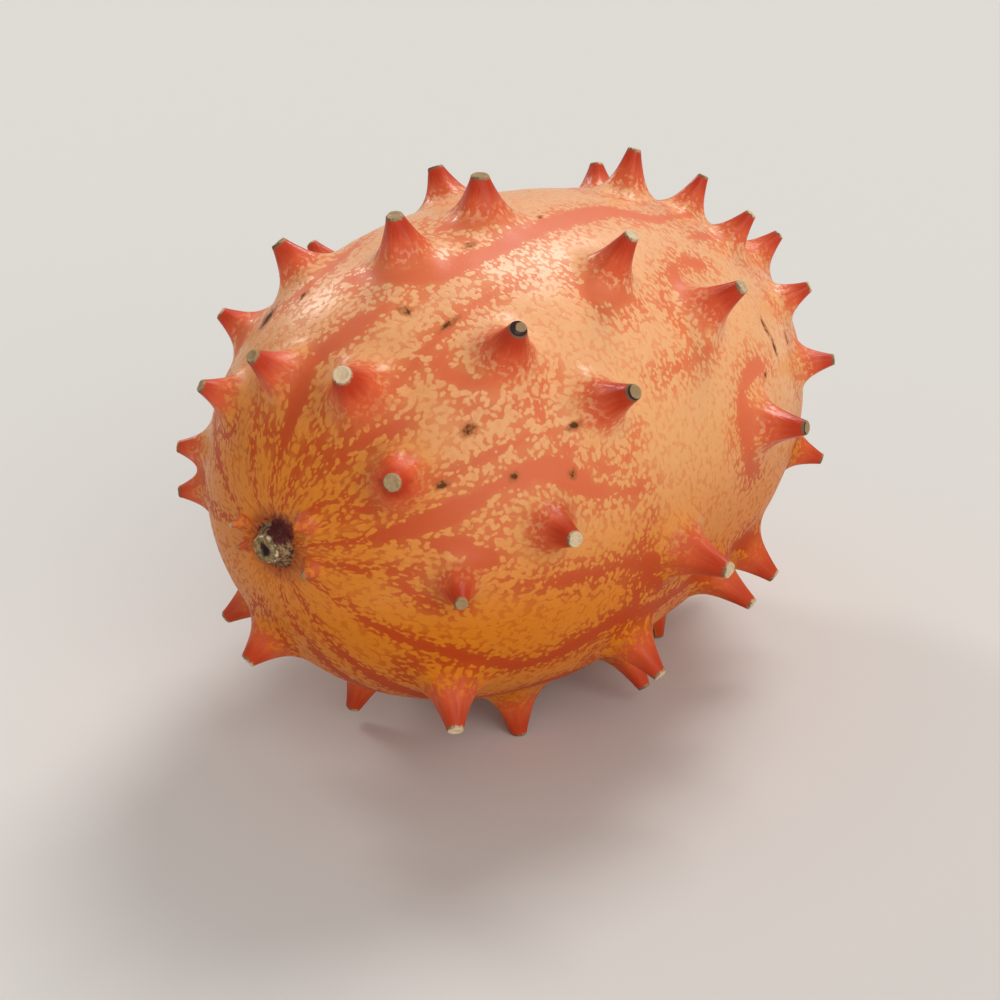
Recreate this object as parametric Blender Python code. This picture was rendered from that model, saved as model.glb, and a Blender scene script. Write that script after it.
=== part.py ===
"""A horned melon, or kiwano, as picked and lying on its side.

The frame is in metres with +Z up. +X runs along the fruit from its stem end to its blossom end. The
origin is on the surface that the fruit rests on, under the middle of its box. The fruit grew as one
piece: a barrel-shaped body whose peel is drawn up into blunt horns, with a corky stub where the stem was
cut and a small scar where the flower was. It rests on the worn tips of three of its lower horns.

Sizes are in millimetres and turned into metres where the mesh is made. A place on the fruit is given by
its station, which is the distance along the axis from the middle of the body, and by its angle round the
axis, which is 0 at +Y, 90 at the top, 180 at -Y and 270 underneath.
"""

import math
import random

import bmesh
import bpy
import numpy as np
from mathutils import Vector
from mathutils.geometry import delaunay_2d_cdt

METRES = 0.001

# The body is a barrel with round ends, a little fuller towards the stem.
HALF_LENGTH = 57.9
BODY_RADIUS = 36.4
END_FULLNESS = 2.38
STEM_SWELL = 0.074
AXIS_HEIGHT = 40.8

# A horn of girth 1 has these radii, and other horns are scaled from it.
TIP_RADIUS = 1.15
CONE_RADIUS = 3.5
FLARE_RADIUS = 2.6
FLARE_POWER = 4
SLOPE_POWER = 1.6
TIP_DOME = 0.2
MOST_LEAN = 0.04

# Horns of the near and upper side: station, angle, height and girth. The last four are nubs round the stem.
NEAR_HORNS = (
    (-45, 355, 4.5, 0.75), (-44, 8, 4.5, 0.75), (-50, 48, 4.6, 0.8), (-35, 37, 5.2, 0.85),
    (-32, 60, 5.8, 1.0), (-14, 40, 6.0, 0.8), (-50, 80, 6.0, 0.85), (-31, 93, 6.6, 1.0),
    (-16, 95, 6.2, 1.1), (-3, 68, 5.9, 1.05), (19, 97, 6.9, 0.9), (31, 73, 6.0, 1.0),
    (28, 108, 6.1, 0.75), (28, 124, 5.6, 0.78), (41, 127, 5.7, 0.8), (33, 147, 5.3, 0.75),
    (33, 167, 5.4, 0.75), (37, 200, 5.5, 0.78), (-49, 114, 7.6, 1.05), (-35, 132, 7.9, 1.0),
    (-12, 126, 8.0, 0.88), (2, 142, 7.8, 0.92), (-27, 151, 8.6, 0.95), (-51, 147, 7.0, 0.95),
    (8, 172, 7.6, 0.95), (-38, 173, 7.6, 0.88), (-48, 186, 6.0, 0.72), (-15, 190, 8.8, 1.0),
    (-57, 143, 2.4, 0.42), (-57.3, 16, 2.0, 0.28), (-57.4, 346, 1.8, 0.26), (-57.2, 195, 2.2, 0.38),
)

# Three lower horns carry the fruit. Each bends part of the way to straight down, is as long as it takes
# to reach the surface, and is worn flat there.
FOOT_SITES = ((-22, 250), (18, 250), (-2, 290))
STRAIGHT_DOWN = 270
FOOT_BEND = 0.6
FOOT_WEAR = 0.4
FOOT_GIRTH = 1.0

# The horns of the far side and the underside are drawn at random, clear of each other. The far side is
# what faces away from NEAR_SIDE.
NEAR_SIDE = (-0.76, -0.56, 0.34)
FAR_FACING = -0.34
UNDER_FACING = -0.42
FAR_SPACING = 16.5
FAR_DRAWS = 4000
FAR_HEIGHTS = (6.8, 8.4)
FAR_GIRTHS = (0.85, 1.05)
END_HEIGHT_LOSS = 2.0
FLOOR_CLEARANCE = 1.5
SEED = 12

# The stub of the cut stem stands in a shallow dip, and its middle is hollow.
STUB_RADIUS = 2.1
STUB_HEIGHT = 2.3
HOLLOW_DEPTH = 1.0
HOLLOW_RADIUS = 0.9
STEM_DIP = 0.9
STEM_DIP_RADIUS = 8.0

# The flower's scar is a low ring.
SCAR_RADIUS = 2.2
SCAR_HEIGHT = 0.5

# Rings of mesh points round each horn, as (part of the way down, number of points), and the spacing of
# the points between the horns.
HORN_RINGS = ((0.0, 9), (0.16, 9), (0.36, 9), (0.56, 10), (0.74, 10), (0.9, 11))
END_RINGS = ((0.9, 6), (1.4, 8), (1.9, 10), (2.3, 10), (2.8, 12), (4.0, 12), (6.0, 12))
BODY_SPACING = 4.3
GOLDEN_ANGLE = math.pi * (3.0 - math.sqrt(5.0))

PEEL_COLOUR = (0.82, 0.25, 0.07, 1.0)
PEEL_ROUGHNESS = 0.38


def body_radius(station):
    along = station / HALF_LENGTH
    bulge = np.sqrt(np.clip(1.0 - np.abs(along) ** END_FULLNESS, 0.0, None))
    return BODY_RADIUS * bulge * (1.0 - STEM_SWELL * along)


def profile():
    """The body's outline from the stem pole, turn 0, to the blossom pole, turn pi, as a table."""
    turn = np.linspace(1e-5, math.pi - 1e-5, 6001)
    station = -HALF_LENGTH * np.cos(turn)
    radius = body_radius(station)
    step = np.hypot(np.diff(station), np.diff(radius))
    middle = 0.5 * (radius[1:] + radius[:-1])
    spread = np.concatenate([[0.0], np.cumsum(step / middle)])
    area = np.concatenate([[0.0], np.cumsum(2.0 * math.pi * middle * step)])
    return {
        "turn": turn,
        "station": station,
        "radius": radius,
        "bearing": np.arctan2(radius, -station),
        "spread": spread - np.interp(math.pi / 2, turn, spread),
        "area": area,
        "out_along": -np.gradient(radius, turn),
        "out_across": np.gradient(station, turn),
    }


PROFILE = profile()


def looked_up(turn, column):
    return np.interp(turn, PROFILE["turn"], PROFILE[column])


def body_points(turn, angle):
    radius = looked_up(turn, "radius")
    return np.column_stack([looked_up(turn, "station"), radius * np.cos(angle), radius * np.sin(angle)])


def body_normals(turn, angle):
    across = looked_up(turn, "out_across")
    normals = np.column_stack([looked_up(turn, "out_along"), across * np.cos(angle), across * np.sin(angle)])
    return normals / np.linalg.norm(normals, axis=1)[:, None]


def sites_of(stations, degrees):
    """Each site's turn, angle, point on the body and direction out of it."""
    turn = np.arccos(-np.asarray(stations, float) / HALF_LENGTH)
    angle = np.radians(np.asarray(degrees, float))
    return turn, angle, body_points(turn, angle), body_normals(turn, angle)


def foot_axis(degrees):
    angle = math.radians(degrees + FOOT_BEND * (STRAIGHT_DOWN - degrees))
    return np.array([0.0, math.cos(angle), math.sin(angle)])


def foot_horns():
    horns = []
    for station, degrees in FOOT_SITES:
        root = float(body_radius(station)) * math.sin(math.radians(degrees))
        height = (-AXIS_HEIGHT - FOOT_WEAR - root) / foot_axis(degrees)[2]
        horns.append((station, degrees, height, FOOT_GIRTH))
    return horns


def far_horns(horns):
    """The horns with more drawn over the far side and the underside, clear of each other and the floor."""
    draws = random.Random(SEED)
    found = list(horns)
    for _ in range(FAR_DRAWS):
        turn = np.interp(draws.random() * PROFILE["area"][-1], PROFILE["area"], PROFILE["turn"])
        station = float(looked_up(turn, "station"))
        degrees = draws.uniform(0.0, 360.0)
        height = draws.uniform(*FAR_HEIGHTS) - END_HEIGHT_LOSS * (station / HALF_LENGTH) ** 2
        girth = draws.uniform(*FAR_GIRTHS)
        stations, angles, _, _ = zip(*found, (station, degrees, height, girth))
        _, _, points, normals = sites_of(stations, angles)
        far = normals[-1] @ NEAR_SIDE < FAR_FACING or normals[-1][2] < UNDER_FACING
        apart = np.linalg.norm(points[:-1] - points[-1], axis=1).min()
        off_floor = AXIS_HEIGHT + (points[-1] + height * normals[-1])[2]
        if far and apart > FAR_SPACING and off_floor > FLOOR_CLEARANCE:
            found.append((station, degrees, height, girth))
    return found


def horn_curve():
    """A horn's outline: the distance from its axis and the rise, as parts of its height, tip to foot."""
    down = np.linspace(0.0, 1.0, 61)
    away = TIP_RADIUS + CONE_RADIUS * down + FLARE_RADIUS * down**FLARE_POWER
    return away, (1.0 - down) ** SLOPE_POWER


CURVE_AWAY, CURVE_RISE = horn_curve()


class Horns:
    """All the horns, with what places and shapes each."""

    def __init__(self):
        listed = far_horns(list(NEAR_HORNS) + foot_horns())
        stations, degrees, heights, girths = zip(*listed)
        self.turn, self.angle, self.points, self.normals = sites_of(stations, degrees)
        self.heights = np.array(heights)
        self.girths = np.array(girths)
        self.axes = self.directions()

    def directions(self):
        """The way that each horn points: out of the body with a slight lean, and a foot mostly down."""
        draws = random.Random(SEED)
        leans = [[draws.uniform(-MOST_LEAN, MOST_LEAN) for _ in range(3)] for _ in self.heights]
        axes = self.normals + np.array(leans)
        for number, (_, degrees) in enumerate(FOOT_SITES):
            axes[len(NEAR_HORNS) + number] = foot_axis(degrees)
        return axes / np.linalg.norm(axes, axis=1)[:, None]

    def away(self, points, which):
        """How far points are from one horn's axis, measured along the body."""
        apart = points - self.points[which]
        out = apart @ self.normals[which]
        return np.sqrt(np.maximum((apart**2).sum(axis=1) - out**2, 0.0)), np.abs(out)

    def rise(self, points):
        """The move that raises points of the body into the horns."""
        move = np.zeros_like(points)
        for which, height in enumerate(self.heights):
            away, out = self.away(points, which)
            scaled = away / self.girths[which]
            part = np.interp(scaled, CURVE_AWAY, CURVE_RISE, right=0.0)
            dome = TIP_DOME * self.girths[which] * np.clip(1.0 - (scaled / TIP_RADIUS) ** 2, 0.0, 1.0)
            near = out < height
            move += (near * (height * part + dome))[:, None] * self.axes[which]
        return move


def on_body(points):
    """The turn and angle of the places on the body that lie straight below points, seen from its middle."""
    across = np.hypot(points[:, 1], points[:, 2])
    bearing = np.arctan2(across, -points[:, 0])
    turn = np.interp(bearing, PROFILE["bearing"], PROFILE["turn"])
    return turn, np.arctan2(points[:, 2], points[:, 1])


def ring(point, normal, radius, count, phase):
    side = np.cross(normal, [0.0, -normal[2], normal[1]] if abs(normal[0]) < 0.999 else [0.0, 0.0, 1.0])
    side /= np.linalg.norm(side)
    other = np.cross(normal, side)
    around = phase + 2.0 * math.pi * np.arange(count) / count
    return point + radius * (np.cos(around)[:, None] * side + np.sin(around)[:, None] * other)


def horn_mesh_points(horns):
    """Points on the body under each horn: its middle and rings round it, up to halfway to the next."""
    kept = []
    for which, girth in enumerate(horns.girths):
        rings = HORN_RINGS if girth > 0.5 else HORN_RINGS[::2]
        found = [horns.points[which][None, :]]
        for number, (down, count) in enumerate(rings):
            away = TIP_RADIUS + CONE_RADIUS * down + FLARE_RADIUS * down**FLARE_POWER
            phase = GOLDEN_ANGLE * which + math.pi * number / count
            found.append(ring(horns.points[which], horns.normals[which], away * girth, count, phase))
        points = np.concatenate(found)
        own = np.linalg.norm(points - horns.points[which], axis=1) / girth
        others = [j for j in range(len(horns.girths)) if j != which]
        rest = np.linalg.norm(points[:, None, :] - horns.points[others], axis=2) / horns.girths[others]
        kept.append(points[own < 0.93 * rest.min(axis=1)])
    return np.concatenate(kept)


def end_mesh_points(end):
    pole = np.array([end * HALF_LENGTH, 0.0, 0.0])
    normal = np.array([float(end), 0.0, 0.0])
    rings = [ring(pole, normal, away, count, 0.5 * away) for away, count in END_RINGS]
    return np.concatenate(rings)


def even_points():
    """Points spread evenly over the body, on a spiral from pole to pole."""
    count = round(PROFILE["area"][-1] / (BODY_SPACING**2 * math.sqrt(0.75)))
    share = (np.arange(count) + 0.5) / count
    turn = np.interp(share * PROFILE["area"][-1], PROFILE["area"], PROFILE["turn"])
    return body_points(turn, GOLDEN_ANGLE * np.arange(count))


def clear_of_horns(points, horns, reach):
    """Those points that are further from every horn than a part of its own reach."""
    clear = np.ones(len(points), bool)
    for point, girth in zip(horns.points, horns.girths):
        clear &= np.linalg.norm(points - point, axis=1) > reach * CURVE_AWAY[-1] * girth
    return points[clear]


def body_mesh_points(horns):
    """Every point of the mesh on the body but the blossom pole: fine at horns and poles, even elsewhere."""
    stem_pole = np.array([[-HALF_LENGTH, 0.0, 0.0]])
    ends = clear_of_horns(np.concatenate([end_mesh_points(-1), end_mesh_points(1)]), horns, 0.85)
    special = np.concatenate([stem_pole, horn_mesh_points(horns), ends])
    even = clear_of_horns(even_points(), horns, 0.93)
    gaps = np.linalg.norm(even[:, None, :] - special[None, :, :], axis=2).min(axis=1)
    return np.concatenate([special, even[gaps > 0.45 * BODY_SPACING]])


def flattened(turn, angle):
    """The body's surface laid out flat without bending any angle, the blossom pole infinitely far out."""
    out = np.exp(looked_up(turn, "spread"))
    return [Vector((x, y)) for x, y in zip(out * np.cos(angle), out * np.sin(angle))]


def stem_rise(points):
    """The dip round the stem's stub, and the stub with its hollow middle."""
    away = np.hypot(points[:, 1], points[:, 2])
    at_stem = points[:, 0] < 0.0
    dip = STEM_DIP * np.clip(1.0 - (away / STEM_DIP_RADIUS) ** 2, 0.0, 1.0) ** 2
    wall = np.clip((STUB_RADIUS * 1.3 - away) / (STUB_RADIUS * 0.4), 0.0, 1.0)
    hollow = HOLLOW_DEPTH * np.clip(1.0 - away / HOLLOW_RADIUS, 0.0, 1.0)
    return at_stem * (dip - STUB_HEIGHT * wall + hollow)


def blossom_rise(points):
    away = np.hypot(points[:, 1], points[:, 2])
    at_blossom = points[:, 0] > 0.0
    ridge = np.clip(1.0 - np.abs(away - SCAR_RADIUS) / SCAR_RADIUS, 0.0, 1.0)
    return at_blossom * SCAR_HEIGHT * ridge


def shaped(points, horns):
    """The body's points raised into horns, stub and scar, with the three feet worn flat."""
    final = points + horns.rise(points)
    final[:, 0] += stem_rise(points) + blossom_rise(points)
    final[:, 2] = np.maximum(final[:, 2], -AXIS_HEIGHT)
    return final


def skinned(points, flat):
    """One closed mesh through the points, the blossom pole last."""
    _, _, triangles, sources, _, _ = delaunay_2d_cdt(flat, [], [], 0, 1e-9)
    bm = bmesh.new()
    corners = [bm.verts.new(point) for point in points]
    for triangle in triangles:
        bm.faces.new([corners[sources[corner][0]] for corner in triangle])
    for edge in [edge for edge in bm.edges if edge.is_boundary]:
        bm.faces.new([edge.verts[0], edge.verts[1], corners[-1]])
    bmesh.ops.delete(bm, geom=[corner for corner in bm.verts if not corner.link_faces], context="VERTS")
    bmesh.ops.recalc_face_normals(bm, faces=bm.faces)
    return bm


def peel_material():
    material = bpy.data.materials.new("peel")
    material.use_nodes = True
    shader = material.node_tree.nodes["Principled BSDF"]
    shader.inputs["Base Color"].default_value = PEEL_COLOUR
    shader.inputs["Roughness"].default_value = PEEL_ROUGHNESS
    shader.inputs["Metallic"].default_value = 0.0
    return material


def horned_melon():
    horns = Horns()
    turn, angle = on_body(body_mesh_points(horns))
    on_skin = np.vstack([body_points(turn, angle), [HALF_LENGTH, 0.0, 0.0]])
    bm = skinned(shaped(on_skin, horns) * METRES, flattened(turn, angle))
    places = np.array([corner.co for corner in bm.verts])
    low, high = places.min(axis=0), places.max(axis=0)
    foot = Vector((0.5 * (low[0] + high[0]), 0.5 * (low[1] + high[1]), low[2]))
    bmesh.ops.translate(bm, verts=bm.verts, vec=-foot)
    mesh = bpy.data.meshes.new("horned_melon")
    bm.to_mesh(mesh)
    bm.free()
    mesh.shade_smooth()
    mesh.materials.append(peel_material())
    melon = bpy.data.objects.new("horned_melon", mesh)
    bpy.context.scene.collection.objects.link(melon)


def clear_scene():
    for thing in list(bpy.data.objects):
        bpy.data.objects.remove(thing, do_unlink=True)


clear_scene()
horned_melon()
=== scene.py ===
"""The looks of a horned melon lying on its side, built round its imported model.

The fruit is one grown piece, so one fine mesh replaces its one node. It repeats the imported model's form
with more points, adds the fine relief, and carries the values that its material reads. Sizes are in
millimetres from the middle of the body and turned into metres where the mesh is made.

A place on the fruit is given by its station, which is the distance along the axis from the middle of the
body towards the blossom end, and by its angle round the axis in degrees, which is 0 at +Y, 90 at the top,
180 at -Y and 270 underneath. Bands and blemishes lie on the unrolled peel, so their places have the
distance along the peel instead of the station.
"""

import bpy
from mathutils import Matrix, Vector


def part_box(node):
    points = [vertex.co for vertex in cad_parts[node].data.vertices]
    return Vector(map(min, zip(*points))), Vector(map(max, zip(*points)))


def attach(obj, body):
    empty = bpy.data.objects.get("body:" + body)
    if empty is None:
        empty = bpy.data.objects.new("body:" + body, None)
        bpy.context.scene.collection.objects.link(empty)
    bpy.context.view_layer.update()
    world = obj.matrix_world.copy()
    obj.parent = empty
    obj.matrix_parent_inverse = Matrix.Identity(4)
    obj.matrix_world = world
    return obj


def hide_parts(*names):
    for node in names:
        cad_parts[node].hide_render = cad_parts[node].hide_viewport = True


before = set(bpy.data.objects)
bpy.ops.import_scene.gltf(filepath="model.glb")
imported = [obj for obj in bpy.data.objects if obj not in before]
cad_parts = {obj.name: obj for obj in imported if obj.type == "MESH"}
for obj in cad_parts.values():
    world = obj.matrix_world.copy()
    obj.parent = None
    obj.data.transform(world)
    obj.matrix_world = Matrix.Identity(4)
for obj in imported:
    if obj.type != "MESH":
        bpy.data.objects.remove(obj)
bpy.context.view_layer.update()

import math
import random

import bmesh
import bpy
import numpy as np
from mathutils import Matrix, Vector, noise
from mathutils.geometry import delaunay_2d_cdt

METRES = 0.001
NODE = "horned_melon"

# ---- The form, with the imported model's own sizes ----

# The body is a barrel with round ends, a little fuller towards the stem.
HALF_LENGTH = 57.9
BODY_RADIUS = 36.4
END_FULLNESS = 2.38
STEM_SWELL = 0.074
AXIS_HEIGHT = 40.8
PROFILE_POINTS = 6001
POLE_GAP = 1e-5

# A horn of girth 1 has these radii, and other horns are scaled from it. It raises only what lies within
# its depth of its site, which leaves out the fruit's other side.
TIP_RADIUS = 1.15
CONE_RADIUS = 3.5
FLARE_RADIUS = 2.6
FLARE_POWER = 4
SLOPE_POWER = 1.6
TIP_DOME = 0.2
MOST_LEAN = 0.04
HORN_DEPTH = 8.0
CURVE_POINTS = 61

# Horns of the near and upper side: station, angle, height and girth. The last four are nubs round the stem.
NEAR_HORNS = (
    (-45, 355, 4.5, 0.75), (-44, 8, 4.5, 0.75), (-50, 48, 4.6, 0.8), (-35, 37, 5.2, 0.85),
    (-32, 60, 5.8, 1.0), (-14, 40, 6.0, 0.8), (-50, 80, 6.0, 0.85), (-31, 93, 6.6, 1.0),
    (-16, 95, 6.2, 1.1), (-3, 68, 5.9, 1.05), (19, 97, 6.9, 0.9), (31, 73, 6.0, 1.0),
    (28, 108, 6.1, 0.75), (28, 124, 5.6, 0.78), (41, 127, 5.7, 0.8), (33, 147, 5.3, 0.75),
    (33, 167, 5.4, 0.75), (37, 200, 5.5, 0.78), (-49, 114, 7.6, 1.05), (-35, 132, 7.9, 1.0),
    (-12, 126, 8.0, 0.88), (2, 142, 7.8, 0.92), (-27, 151, 8.6, 0.95), (-51, 147, 7.0, 0.95),
    (8, 172, 7.6, 0.95), (-38, 173, 7.6, 0.88), (-48, 186, 6.0, 0.72), (-15, 190, 8.8, 1.0),
    (-57, 143, 2.4, 0.42), (-57.3, 16, 2.0, 0.28), (-57.4, 346, 1.8, 0.26), (-57.2, 195, 2.2, 0.38),
)

# Three lower horns carry the fruit. Each bends part of the way to straight down, is as long as it takes
# to reach the surface, and is worn flat there.
FOOT_SITES = ((-22, 250), (18, 250), (-2, 290))
STRAIGHT_DOWN = 270
FOOT_BEND = 0.6
FOOT_WEAR = 0.4
FOOT_GIRTH = 1.0

# The horns of the far side and the underside are drawn at random, clear of each other. The far side is
# what faces away from NEAR_SIDE.
NEAR_SIDE = (-0.76, -0.56, 0.34)
FAR_FACING = -0.34
UNDER_FACING = -0.42
FAR_SPACING = 16.5
FAR_DRAWS = 4000
FAR_HEIGHTS = (6.8, 8.4)
FAR_GIRTHS = (0.85, 1.05)
END_HEIGHT_LOSS = 2.0
FLOOR_CLEARANCE = 1.5
SEED = 12

# The stub of the cut stem stands in a shallow dip, and its middle is hollow. Its foot and the slope of its
# wall are parts of its radius.
STUB_RADIUS = 2.1
STUB_HEIGHT = 2.3
STUB_FOOT = 1.3
STUB_SLOPE = 0.4
HOLLOW_DEPTH = 1.0
HOLLOW_RADIUS = 0.9
STEM_DIP = 0.9
STEM_DIP_RADIUS = 8.0

# The flower's scar is a low ring.
SCAR_RADIUS = 2.2
SCAR_HEIGHT = 0.5

# ---- Fine relief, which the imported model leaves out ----

# A corky tip has a rim that stands a little proud round a sunken middle. The rim's place, its spread and
# the middle's radius are parts of the tip's radius.
CAP_RIM = 0.13
CAP_RIM_PLACE = 0.86
CAP_RIM_SPREAD = 0.02
CAP_DISH = 0.28
CAP_DISH_RADIUS = 0.72

# Slight ribs run up a horn.
RIB_SIZE = 0.05
RIB_COUNT = 5

# Each layer of relief has the width of its bumps, how far they rise and where its noise starts. The peel's
# lumps and ripples fade out over the lowest third of a horn, and the cork round the stem has a radius.
LUMPS = (15.0, 0.35, 1.7)
RIPPLES = (4.0, 0.07, 4.1)
STEM_CORK = (1.2, 0.8, 6.3)
CAP_GRAIN = (0.5, 0.09, 8.8)
HORN_CALMING = 3.0
STEM_CORK_RADIUS = 5.0
BLEMISH_DEPTH = 0.18

# ---- How finely the fruit is meshed ----

# Rings of points round each horn: on its cap, as (part of the cap's radius, number of points), and down
# its wall. A thin horn has fewer. Between two horns, each keeps the points nearer to itself, less a margin.
CAP_RINGS = ((0.22, 8), (0.42, 14), (0.6, 18), (0.74, 22), (0.86, 26), (0.95, 28))
WALL_RINGS = 20
WALL_RING_POINTS = (32, 48)
WALL_RING_POWER = 1.15
THIN_GIRTH = 0.5
THINNEST_GIRTH = 0.3
FEWEST_POINTS = 6
NEIGHBOUR_REACH = 4.0
NEIGHBOUR_MARGIN = 0.985

# Rings round each pole, whose steps double over a distance, and points spread evenly over the rest.
END_STEP = 0.32
END_STEP_DOUBLING = 4.0
END_TWIST = 7.0
END_REACH = 9.0
END_OVERLAP = 0.93
BODY_SPACING = 1.05
BODY_GAP = 1.03
GOLDEN_ANGLE = math.pi * (3.0 - math.sqrt(5.0))

# ---- The peel's markings, placed by the distance along the peel and the angle round the axis ----

# The mottle is laid out on a tube with one radius at its ends and a larger one in its middle, so that the
# blotches don't shrink to hairs round the poles. Its length is stretched by these amounts at these places
# along the peel: above 1 the blotches run round the fruit, below 1 they run along it.
PATTERN_RADII = (12.0, 38.0)
PATTERN_END = 60.0
PATTERN_PLACES = (-76.0, -52.0, -28.0, 40.0, 76.0)
PATTERN_STRETCH = (0.55, 0.7, 1.3, 1.5, 0.9)

# Each coral band of the near side has a half width and the places that it runs through.
NEAR_BANDS = (
    (1.6, ((-72, 88), (-62, 92), (-52, 91), (-46, 96), (-39, 103))),
    (1.8, ((-37, 82), (-36, 90), (-34, 100), (-27, 106), (-16, 107), (-4, 107), (4, 108), (12, 114),
           (26, 112))),
    (0.9, ((-22, 89), (-21, 96), (-15, 104))),
    (0.8, ((-42, 60), (-38, 69), (-31, 72), (-24, 69))),
    (0.7, ((-74, 64), (-66, 66), (-58, 68))),
    (0.6, ((-72, 120), (-60, 121), (-52, 122), (-44, 119), (-34, 117), (-22, 118))),
    (1.2, ((-62, 127), (-56, 128), (-51, 132))),
    (1.0, ((-41, 119), (-43, 127), (-41, 134), (-36, 138))),
    (0.9, ((-17, 125), (-15, 131), (-9, 135))),
    (1.1, ((-1, 145), (0, 137), (2, 131), (7, 129), (13, 132))),
    (1.3, ((9, 185), (4, 179), (3, 170), (5, 162), (10, 159), (16, 160))),
    (1.7, ((-74, 166), (-64, 167), (-56, 165), (-49, 162), (-43, 159), (-36, 161), (-31, 169), (-22, 172))),
    (0.5, ((-72, 152), (-60, 151), (-50, 152), (-40, 151), (-34, 152))),
    (0.3, ((-17, 151), (-6, 151), (2, 150))),
    (1.5, ((-54, 171), (-50, 175), (-46, 182))),
    (1.0, ((-45, 187), (-32, 189), (-22, 190), (-20, 196), (-14, 202))),
    (0.8, ((14, 122), (22, 123), (34, 127), (46, 124))),
    (1.2, ((30, 166), (38, 158), (48, 160), (60, 152))),
    (0.9, ((-74, 106), (-68, 108), (-62, 107))),
    (0.8, ((-74, 138), (-68, 137), (-63, 139))),
    (0.9, ((-74, 182), (-66, 184), (-56, 182))),
)

# A band narrows over this part of its length at each end, by this much, and its width rises and falls by a
# share of itself. A curve through its places has BAND_STEPS points from one place to the next, and a point
# of the peel looks for bands within BAND_SEARCH.
BAND_TAPER = 0.2
BAND_END_LOSS = 1.8
BAND_WAVE = 0.22
BAND_WAVES = 17.0
BAND_STEPS = 14
BAND_SEARCH = 7.0

# The far side's bands lie at these angles and wander by this much at each of their places. Some of them
# stop short: a span is the first place and the one after the last.
FAR_BANDS = range(212, 420, 26)
FAR_BAND_PLACES = range(-72, 73, 12)
FAR_BAND_WANDER = 9.0
FAR_BAND_SPANS = ((0, 13), (0, 8), (2, 13), (0, 10))
FAR_BAND_HALF_WIDTHS = (1.2, 2.3)

# Each horn but the nubs has a coral ring round part of its foot, mostly on the side of the stem. One whose
# half width is drawn below 0 shows only in traces.
RING_AWAY = (7.2, 9.2)
RING_HALF_WIDTH = (-0.3, 0.5)
RING_SWEEP = (60.0, 110.0)
RING_TURN = 0.7
RING_UNEVEN = 0.08
RING_POINTS = 40
TALLEST_NUB = 4.0

# How weathered the tip of a horn is, by the horn's station and angle: from 0, pale, to 1, dark, and -1 for
# no cork. A horn lower than FULL_COLOUR_HEIGHT is paler than the others.
TIP_AGES = {
    (-35, 132): 0.95, (-27, 151): 0.72, (8, 172): 0.66, (-51, 147): 0.42,
    (-48, 186): 0.58, (-49, 114): 0.05, (2, 142): 0.3, (-12, 126): 0.15,
    (-38, 173): 0.2, (-57, 143): -1.0, (-57.3, 16): 0.3, (-57.2, 195): 0.62,
}
OTHER_TIP_AGES = (0.0, 0.62)
FULL_COLOUR_HEIGHT = 5.0

# Corky blemishes: place, length along the peel and length round it.
NEAR_BLEMISHES = (
    (-40, 106, 0.8, 2.6), (-38, 117, 3.0, 0.8), (-24, 102, 1.6, 0.9), (-45, 143, 1.8, 1.5),
    (-51, 154, 1.5, 1.3), (-42, 159, 1.1, 1.1), (-34, 163, 0.9, 1.1), (-32, 153, 1.3, 0.8),
    (19, 151, 0.8, 2.8), (20, 157, 0.8, 3.4), (28, 157, 0.8, 2.0), (-42, 57, 3.4, 3.0),
    (-40, 70, 1.8, 1.0), (-9, 103, 1.2, 0.4), (13, 162, 0.7, 0.7), (26, 101, 2.0, 0.4),
    (-49, 168, 0.8, 0.6), (-62, 136, 1.1, 0.7), (-64, 60, 0.5, 2.2), (-60, 74, 0.4, 1.6),
)
BLEMISH_MARGIN = 0.15

# Those of the far side are drawn at random. A width is a part of the length.
FAR_BLEMISHES = 22
FAR_BLEMISH_ALONG = (-60, 60)
FAR_BLEMISH_DEGREES = (212, 420)
FAR_BLEMISH_LENGTHS = (0.8, 2.2)
FAR_BLEMISH_WIDTHS = (0.4, 1.2)

# Painted shade beside the stub, for the shade of the pit between the stub and the peel: its distance from the
# stem's pole and its angle.
PIT_SHADE_AWAY = 3.0
PIT_SHADE_DEGREES = 122

# What the material reads where a horn, cap, band, blemish or end is out of reach.
FAR_FROM_HORN = 9.0
FAR_FROM_CAP = 3.0
FAR_FROM_BAND = 6.0
FAR_FROM_BLEMISH = 3.0
FAR_FROM_END = 40.0

# The streaks on a horn's flank are laid out by their bearing and by their distance from its axis in this
# scale. Each horn's are this far from those of the horn before.
FLANK_SCALE = 0.16
FLANK_GAP = 5.0


def body_radius(station):
    along = station / HALF_LENGTH
    bulge = np.sqrt(np.clip(1.0 - np.abs(along) ** END_FULLNESS, 0.0, None))
    return BODY_RADIUS * bulge * (1.0 - STEM_SWELL * along)


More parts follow.
